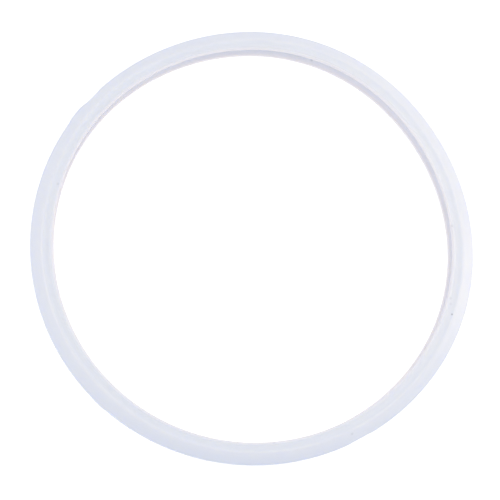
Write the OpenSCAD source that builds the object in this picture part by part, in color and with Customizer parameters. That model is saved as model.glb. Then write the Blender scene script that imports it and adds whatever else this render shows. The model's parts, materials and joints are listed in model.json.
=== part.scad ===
// Sealing ring of a pressure cooker: one closed ring of moulded silicone.
// The origin is the centre of the ring at the height of its lower crest, and +Z is its axis.
// The section is the same above and below its middle, so the ring seals either way up.

/* [Ring] */
// Diameter across the outer band
outer_d = 240; // [160:1:320]
// Width of the section, from the outer band in to the edge of the lips
section_w = 12; // [11:0.1:16]
// Height of the section, from the lower crest to the upper one
section_h = 12; // [10:0.1:16]

/* [Outer body] */
// Height of the straight band round the outside, which seats in the lid
band_h = 4; // [1:0.1:6]
// Width of the sloping shoulder between the band and a crest
shoulder_w = 6; // [4:0.1:6.5]
// Width of the flat land on a crest
crest_w = 0.9; // [0.4:0.1:1.2]
// Thickness of rubber between the band and the floor of the channel
wall_t = 4; // [3:0.1:5]

/* [Lips] */
// Thickness of a lip
lip_t = 1.4; // [1.2:0.1:2.6]
// How far the outer face of a lip lies below its crest
lip_drop = 0.5; // [0.3:0.1:1.2]
// Width of the slope from a crest down to its lip
step_w = 1.2; // [0.5:0.1:1.6]
// How far the round bead along the edge of a lip stays below the crest
bead_drop = 0.1; // [0.05:0.05:0.5]

/* [Hidden] */
$fn = 96;

mid_z = section_h / 2;             // height of the section's plane of symmetry
outer_r = outer_d / 2;
inner_r = outer_r - section_w;     // at the edge of the lips
crest_out_r = outer_r - shoulder_w;
crest_in_r = crest_out_r - crest_w;
lip_top = mid_z - lip_drop;        // heights here are above the plane of symmetry
lip_under = lip_top - lip_t;
bead_top = mid_z - bead_drop;
bead_r = (bead_top - lip_under) / 2;   // a bead is flush with the underside of its lip
bead_centre_r = inner_r + bead_r;
floor_r = outer_r - wall_t;

// Upper half of the solid section, from the plane of symmetry up to the crest and the lip
module half_section() {
    polygon([
        [bead_centre_r, 0],
        [outer_r, 0],
        [outer_r, band_h / 2],
        [crest_out_r, mid_z],
        [crest_in_r, mid_z],
        [crest_in_r - step_w, lip_top],
        [bead_centre_r, lip_top]
    ]);
    translate([bead_centre_r, bead_top - bead_r]) circle(r = bead_r);
}

// Channel between the lips, with a half-round floor, cut well past the edge of the lips
module channel_section() {
    translate([floor_r - lip_under, 0]) circle(r = lip_under);
    translate([inner_r - section_w, -lip_under])
        square([floor_r - lip_under - inner_r + section_w, 2 * lip_under]);
}

module ring_section() {
    difference() {
        union() {
            half_section();
            mirror([0, 1]) half_section();
        }
        channel_section();
    }
}

module sealing_ring() {
    color("aliceblue") translate([0, 0, mid_z]) rotate_extrude($fn = 240) ring_section();
}

sealing_ring();
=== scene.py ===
import json
import math

import bmesh
import bpy
from mathutils import Matrix, Vector


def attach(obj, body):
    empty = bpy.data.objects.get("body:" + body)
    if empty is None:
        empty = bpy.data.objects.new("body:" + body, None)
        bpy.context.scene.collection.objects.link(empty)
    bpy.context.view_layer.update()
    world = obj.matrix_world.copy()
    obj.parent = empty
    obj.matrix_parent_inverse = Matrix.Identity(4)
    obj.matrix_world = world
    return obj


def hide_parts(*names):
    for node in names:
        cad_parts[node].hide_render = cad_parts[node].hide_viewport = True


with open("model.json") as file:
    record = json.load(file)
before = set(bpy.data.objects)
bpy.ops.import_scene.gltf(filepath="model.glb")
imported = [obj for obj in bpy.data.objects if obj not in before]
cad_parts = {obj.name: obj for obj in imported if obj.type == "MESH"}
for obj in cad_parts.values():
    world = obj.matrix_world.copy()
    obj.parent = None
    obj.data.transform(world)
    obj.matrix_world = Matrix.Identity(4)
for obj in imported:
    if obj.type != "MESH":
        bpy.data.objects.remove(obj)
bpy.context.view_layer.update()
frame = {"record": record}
mounts = {mount["name"]: mount for mount in frame["record"]["mounts"]}
print("frame loaded")

mm = 0.001
ringHeight = mounts["upper_crest"]["pos_m"][2]
outerRadius = mounts["lid_seat"]["dims"]["r_mm"] * mm


# camera, above the ring and a little to one side

cameraSetup = {
    "distance": 0.7,
    "tilt": 13.9,  # degrees off straight down
    "farSide": 63.3,  # which way is furthest from the lens, in degrees from +X towards +Y
    "lens": 92.35,
    "aim": (-2.1 * mm, -3.2 * mm),  # the point looked at, right and up from the ring's centre
}


def sideways(degrees, length=1.0):
    return Vector((math.cos(math.radians(degrees)), math.sin(math.radians(degrees)), 0)) * length


def makeCamera():
    tilt = math.radians(cameraSetup["tilt"])
    away = math.radians(cameraSetup["farSide"])
    back = Vector((0, 0, math.cos(tilt))) - sideways(cameraSetup["farSide"], math.sin(tilt))
    far = Vector((0, 0, math.sin(tilt))) + sideways(cameraSetup["farSide"], math.cos(tilt))
    right = far * math.cos(away) + far.cross(back) * math.sin(away)
    up = back.cross(right)
    aim = right * cameraSetup["aim"][0] + up * cameraSetup["aim"][1]
    data = bpy.data.cameras.new("camera")
    data.lens = cameraSetup["lens"]
    data.clip_start = 0.02
    camera = bpy.data.objects.new("camera", data)
    bpy.context.collection.objects.link(camera)
    turn = Matrix((right, up, back)).transposed().to_4x4()
    camera.matrix_world = Matrix.Translation(aim + back * cameraSetup["distance"]) @ turn
    bpy.context.scene.camera = camera


makeCamera()
print("camera placed")


# a shader socket that takes part in sums

class Sum:
    def __init__(self, tree, socket):
        self.tree = tree
        self.socket = socket

    def join(self, operation, first, second):
        node = self.tree.nodes.new("ShaderNodeMath")
        node.operation = operation
        for place, value in zip(node.inputs, (first, second)):
            if isinstance(value, Sum):
                self.tree.links.new(value.socket, place)
            else:
                place.default_value = value
        return Sum(self.tree, node.outputs[0])

    def __add__(self, other):
        return self.join("ADD", self, other)

    def __radd__(self, other):
        return self.join("ADD", other, self)

    def __sub__(self, other):
        return self.join("SUBTRACT", self, other)

    def __rsub__(self, other):
        return self.join("SUBTRACT", other, self)

    def __mul__(self, other):
        return self.join("MULTIPLY", self, other)

    def __rmul__(self, other):
        return self.join("MULTIPLY", other, self)


class Shader:
    def __init__(self, tree):
        self.tree = tree
        tree.nodes.clear()

    def add(self, kind, settings=None, inputs=None, output=0):
        node = self.tree.nodes.new("ShaderNode" + kind)
        for name, value in (settings or {}).items():
            if name == "stops":
                self.setStops(node.color_ramp, value)
            else:
                setattr(node, name, value)
        for name, value in (inputs or {}).items():
            if isinstance(value, Sum):
                self.tree.links.new(value.socket, node.inputs[name])
            else:
                node.inputs[name].default_value = value
        return Sum(self.tree, node.outputs[output]) if len(node.outputs) else node

    def setStops(self, ramp, stops):
        while len(ramp.elements) < len(stops):
            ramp.elements.new(0.5)
        for element, (place, colour) in zip(ramp.elements, stops):
            element.position = place
            element.color = (*colour, 1)


# the sealing ring

ring = {
    "sectionWidth": 12 * mm,
    "bandHeight": 4 * mm,
    "shoulderWidth": 6 * mm,
    "crestWidth": 0.9 * mm,
    "stepWidth": 1.2 * mm,
    "lipDrop": 0.5 * mm,
    "lipThickness": 1.4 * mm,
    "beadWidth": 1.8 * mm,
    "beadDrop": 0.1 * mm,
    "wall": 4 * mm,
    "edgeStart": 0.84,  # where the edge of the lips begins, as a share of the width of the section
    "flashHeight": 0.12 * mm,  # moulding flash at the parting line, round the middle of the band
    "flashWidth": 0.36 * mm,
    "fillets": {  # radius at each corner of the section
        "flash": 0.1 * mm,
        "band": 1 * mm,
        "crestOutside": 1.8 * mm,
        "crestInside": 1.5 * mm,
        "stepFoot": 4 * mm,
        "beadFoot": 0.6 * mm,
        "beadTop": 0.5 * mm,
        "beadInside": 0.85 * mm,
        "beadUnder": 0.8 * mm,
    },
    "turns": 360,  # steps round the ring
    "filletSteps": 5,
    "longestEdge": 0.7 * mm,  # straight stretches of the section are cut into edges no longer than this
    # how far the loose ring stands out of round: lobes, size, direction of one high point in degrees
    "flex": [(2, 0.46 * mm, 33), (3, 0.35 * mm, -33), (4, 0.27 * mm, -21), (5, 0.12 * mm, -4)],
    # how far the edges of the soft lips lean out or in besides, given the same way
    "lipSway": [(1, 0.3 * mm, 208), (2, 0.39 * mm, 101), (3, 0.14 * mm, 20)],
    # trimmed flash on the band: direction in degrees, how far it stands out, and half its width in degrees
    "trimMarks": [
        (138.2, -0.48 * mm, 2.4),
        (144.3, 0.5 * mm, 2.9),
        (297.6, -0.37 * mm, 3),
        (226.5, 0.22 * mm, 2),
    ],
}


def roundedSection(bm):
    middle = ringHeight / 2
    inner = outerRadius - ring["sectionWidth"]
    crestOut = outerRadius - ring["shoulderWidth"]
    crestIn = crestOut - ring["crestWidth"]
    lipTop = middle - ring["lipDrop"]
    lipUnder = lipTop - ring["lipThickness"]
    beadTop = middle - ring["beadDrop"]
    fillets = ring["fillets"]
    corners = [  # distance from the axis, height above the middle, fillet radius
        (outerRadius + ring["flashHeight"], 0, 0),
        (outerRadius, ring["flashWidth"] / 2, fillets["flash"]),
        (outerRadius, ring["bandHeight"] / 2, fillets["band"]),
        (crestOut, middle, fillets["crestOutside"]),
        (crestIn, middle, fillets["crestInside"]),
        (crestIn - ring["stepWidth"], lipTop, fillets["stepFoot"]),
        (inner + ring["beadWidth"], lipTop, fillets["beadFoot"]),
        (inner + 0.6 * ring["beadWidth"], beadTop, fillets["beadTop"]),
        (inner, beadTop, fillets["beadInside"]),
        (inner, lipUnder, fillets["beadUnder"]),
        (outerRadius - ring["wall"], lipUnder, 0.94 * lipUnder),  # nearly a half-round floor
        (outerRadius - ring["wall"], 0, 0),
    ]
    points = [Vector((reach, 0, height)) for reach, height, _ in corners]
    verts = [bm.verts.new(point) for point in points]
    for first, second in zip(verts, verts[1:]):
        bm.edges.new((first, second))
    for place, (_, _, fillet) in enumerate(corners):
        if fillet:
            before = points[place - 1] - points[place]
            after = points[place + 1] - points[place]
            setback = fillet / math.tan(before.angle(after) / 2)
            bmesh.ops.bevel(
                bm, geom=[verts[place]], offset=setback, offset_type="OFFSET", affect="VERTICES",
                segments=ring["filletSteps"], profile=0.5, material=-1)
    for edge in list(bm.edges):
        cuts = int(edge.calc_length() / ring["longestEdge"])
        if cuts:
            bmesh.ops.subdivide_edges(bm, edges=[edge], cuts=cuts)


def waves(lobeList, angle):
    return sum(size * math.cos(lobes * (angle - math.radians(high))) for lobes, size, high in lobeList)


def limit(value):
    return min(max(value, 0.0), 1.0)


# across: 0 at the outer band, 1 at the edge of the lips
# within: where painted shade goes, up to 1 in the channel and on the faces that look in at the middle, 0
# on the rest
def markSurface(bm):
    across = bm.verts.layers.float.new("across")
    within = bm.verts.layers.float.new("within")
    slack = 0.05 * mm
    channelTop = ringHeight / 2 - ring["lipDrop"] - ring["lipThickness"] + slack
    channelFloor = outerRadius - ring["wall"] + slack
    beadShoulder = ringHeight / 2 - ring["beadDrop"] - 3 * slack
    for vert in bm.verts:
        reach = vert.co.to_2d().length
        vert[across] = limit((outerRadius - reach) / ring["sectionWidth"])
        atEdge = limit((vert[across] - ring["edgeStart"]) / (1 - ring["edgeStart"]))
        # painted shade mask: half in the channel, growing to full at the edge of the lips, and on the
        # inward faces of the beads
        if abs(vert.co.z) < channelTop and reach < channelFloor:
            vert[within] = 0.5 + 0.5 * atEdge
        else:
            vert[within] = atEdge * limit((beadShoulder - abs(vert.co.z)) / mm)


def bendOutOfRound(bm):
    bandStart = outerRadius - ring["shoulderWidth"]
    lipStart = outerRadius - ring["wall"]
    lipReach = ring["sectionWidth"] - ring["wall"]
    for vert in bm.verts:
        angle = math.atan2(vert.co.y, vert.co.x)
        reach = vert.co.to_2d().length
        alongLip = limit((lipStart - reach) / lipReach)
        shift = waves(ring["flex"], angle) + waves(ring["lipSway"], angle) * alongLip
        onBand = max(0.0, (reach - bandStart) / ring["shoulderWidth"]) ** 2
        for direction, size, spread in ring["trimMarks"]:
            apart = (math.degrees(angle) - direction + 180) % 360 - 180
            shift += onBand * size * math.exp(-((apart / spread) ** 4))
        vert.co.xy *= (reach + shift) / reach


def makeRing():
    bm = bmesh.new()
    roundedSection(bm)
    bmesh.ops.spin(
        bm, geom=bm.verts[:] + bm.edges[:], cent=(0, 0, 0), axis=(0, 0, 1), angle=2 * math.pi,
        steps=ring["turns"], use_merge=True)
    bmesh.ops.mirror(bm, geom=bm.verts[:] + bm.edges[:] + bm.faces[:], axis="Z", merge_dist=0.001 * mm)
    bmesh.ops.remove_doubles(bm, verts=bm.verts[:], dist=0.001 * mm)
    bmesh.ops.recalc_face_normals(bm, faces=bm.faces[:])
    markSurface(bm)
    bendOutOfRound(bm)
    bmesh.ops.translate(bm, verts=bm.verts[:], vec=(0, 0, ringHeight / 2))
    for face in bm.faces:
        face.smooth = True
    mesh = bpy.data.meshes.new("siliconeRing")
    bm.to_mesh(mesh)
    bm.free()
    piece = bpy.data.objects.new("siliconeRing", mesh)
    bpy.context.collection.objects.link(piece)
    return piece


# its silicone

silicone = {
    "tintsAndShade": [  # colour across the section, from the outer band to the edge of the lips: the silicone's bluish tint, with painted shade darker at the outer band's edge, in the trough and at the edge of the lips
        (0.0, (0.72, 0.757, 0.83)),
        (0.10, (0.80, 0.83, 0.882)),
        (0.52, (0.80, 0.832, 0.887)),
        (0.62, (0.768, 0.813, 0.888)),
        (0.80, (0.77, 0.815, 0.888)),
        (0.90, (0.785, 0.817, 0.878)),
        (0.95, (0.76, 0.77, 0.81)),
        (1.0, (0.72, 0.715, 0.74)),
    ],
    "channelShadeTint": (0.778, 0.748, 0.753),  # painted shade in the channel and on the inside of the beads
    "milkiness": 0.03,  # how much the cloudiness darkens and lightens it
    "cloudScale": 70,
    "grainScale": 2600,
    "grainHeight": 0.02 * mm,
    "grainStrength": 0.12,
    "scatterDepth": 3.5 * mm,
    "scatterTint": (1.0, 1.05, 1.25),
    "roughness": 0.3,
    "cloudRoughness": 0.08,
    "grainRoughness": 0.06,
    "indexOfRefraction": 1.41,
    "shine": 0.5,
    "specks": [  # dark bits: direction in degrees, distance from the axis, height, radius, strength
        (72.3, 111.9 * mm, 1.9 * mm, 0.38 * mm, 0.2),
        (339.2, 113.0 * mm, 11.9 * mm, 0.28 * mm, 0.42),
        (343.5, 109.9 * mm, 11.5 * mm, 0.4 * mm, 0.1),
        (341.9, 110.8 * mm, 11.5 * mm, 0.4 * mm, 0.08),
        (4.7, 108.4 * mm, 11.9 * mm, 0.4 * mm, 0.12),
        (164.7, 109.8 * mm, 11.5 * mm, 0.4 * mm, 0.12),
        (295.4, 114.9 * mm, 10.9 * mm, 0.4 * mm, 0.12),
        (274.2, 108.2 * mm, 11.4 * mm, 0.4 * mm, 0.12),
    ],
}


def siliconeMaterial():
    material = bpy.data.materials.new("translucentSilicone")
    material.use_nodes = True
    shader = Shader(material.node_tree)
    place = shader.add("TexCoord", output="Object")
    cloud = shader.add("TexNoise", {}, {
        "Vector": place, "Scale": silicone["cloudScale"], "Detail": 3, "Roughness": 0.55})
    grain = shader.add("TexNoise", {}, {
        "Vector": place, "Scale": silicone["grainScale"], "Detail": 2, "Roughness": 0.6})
    specks = 0
    for direction, reach, height, radius, strength in silicone["specks"]:
        spot = sideways(direction, reach) + Vector((0, 0, height))
        apart = shader.add("VectorMath", {"operation": "DISTANCE"}, {0: place, 1: spot}, output="Value")
        dot = shader.add("MapRange", {"interpolation_type": "SMOOTHSTEP"}, {
            "Value": apart, "From Min": 0.3 * radius, "From Max": 3 * radius,
            "To Min": strength, "To Max": 0})
        specks = dot + specks
    shade = 1 + silicone["milkiness"] * (cloud - 0.5) - specks
    across = shader.add("Attribute", {"attribute_name": "across"}, output="Fac")
    # tint ramp: bluish silicone colour with painted shade at the outer edge, in the trough and at the edge
    # of the lips
    tint = shader.add("ValToRGB", {"stops": silicone["tintsAndShade"]}, {"Fac": across})
    # painted shade: the darker tint is mixed in over the channel and the inward faces of the beads
    within = shader.add("Attribute", {"attribute_name": "within"}, output="Fac")
    shadedTint = shader.add("Mix", {"data_type": "RGBA"}, {
        0: within, 6: tint, 7: (*silicone["channelShadeTint"], 1)}, output=2)
    tone = shader.add("Mix", {"data_type": "RGBA", "blend_type": "MULTIPLY"}, {
        0: 1.0, 6: shadedTint, 7: shade}, output=2)
    bump = shader.add("Bump", {}, {
        "Height": grain, "Strength": silicone["grainStrength"], "Distance": silicone["grainHeight"]})
    roughness = (silicone["roughness"] + silicone["cloudRoughness"] * (cloud - 0.5)
                 + silicone["grainRoughness"] * grain)
    surface = shader.add("BsdfPrincipled", {}, {
        "Base Color": tone,
        "Roughness": roughness,
        "IOR": silicone["indexOfRefraction"],
        "Specular IOR Level": silicone["shine"],
        "Normal": bump,
        "Subsurface Weight": 1.0,
        "Subsurface Radius": silicone["scatterTint"],
        "Subsurface Scale": silicone["scatterDepth"],
    })
    shader.add("OutputMaterial", {}, {"Surface": surface})
    return material


ringPiece = makeRing()
ringPiece.data.materials.append(siliconeMaterial())
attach(ringPiece, "root")
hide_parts("sealing_ring")
print("sealing ring made with", len(ringPiece.data.polygons), "faces")


# floor and light

studio = {
    "floorSize": 5.0,
    "floorColour": (0.35, 0.35, 0.35),
    "floorGlow": 0.81,
    "floorRoughness": 0.9,
    "floorShine": 0.1,
    "skyColour": (0.82, 0.86, 1.0),
    "skyStrength": 0.735,
    "lampColour": (1.0, 0.84, 0.61),
    "softBoxes": {  # direction and height in degrees, distance and width in metres, watts
        "nearLight": {"direction": 20, "height": 60, "distance": 0.35, "width": 0.3, "watts": 0.25},
        "eastLight": {"direction": 0, "height": 12, "distance": 0.9, "width": 0.5, "watts": 1.3},
        "westLight": {"direction": 180, "height": 55, "distance": 0.9, "width": 0.4, "watts": 1.6},
    },
}


def makeFloor():
    bm = bmesh.new()
    bmesh.ops.create_grid(bm, x_segments=1, y_segments=1, size=studio["floorSize"])
    mesh = bpy.data.meshes.new("floor")
    bm.to_mesh(mesh)
    bm.free()
    floor = bpy.data.objects.new("floor", mesh)
    bpy.context.collection.objects.link(floor)
    material = bpy.data.materials.new("paleFloor")
    material.use_nodes = True
    shader = Shader(material.node_tree)
    surface = shader.add("BsdfPrincipled", {}, {
        "Base Color": (*studio["floorColour"], 1),
        "Roughness": studio["floorRoughness"],
        "Specular IOR Level": studio["floorShine"],
        "Emission Color": (1, 1, 1, 1),
        "Emission Strength": studio["floorGlow"],
    })
    shader.add("OutputMaterial", {}, {"Surface": surface})
    mesh.materials.append(material)


def makeLight():
    world = bpy.data.worlds.new("softSky")
    world.use_nodes = True
    shader = Shader(world.node_tree)
    sky = shader.add("Background", {}, {
        "Color": (*studio["skyColour"], 1), "Strength": studio["skyStrength"]})
    shader.add("OutputWorld", {}, {"Surface": sky})
    bpy.context.scene.world = world
    for name, box in studio["softBoxes"].items():
        data = bpy.data.lights.new(name, "AREA")
        data.shape = "DISK"
        data.size = box["width"]
        data.energy = box["watts"]
        data.color = studio["lampColour"]
        light = bpy.data.objects.new(name, data)
        bpy.context.collection.objects.link(light)
        rise = math.radians(box["height"])
        towards = sideways(box["direction"], math.cos(rise)) + Vector((0, 0, math.sin(rise)))
        light.location = towards * box["distance"]
        light.rotation_euler = towards.to_track_quat("Z", "Y").to_euler()
    bpy.context.scene.view_settings.view_transform = "Standard"


makeFloor()
makeLight()
print("floor and lights placed")
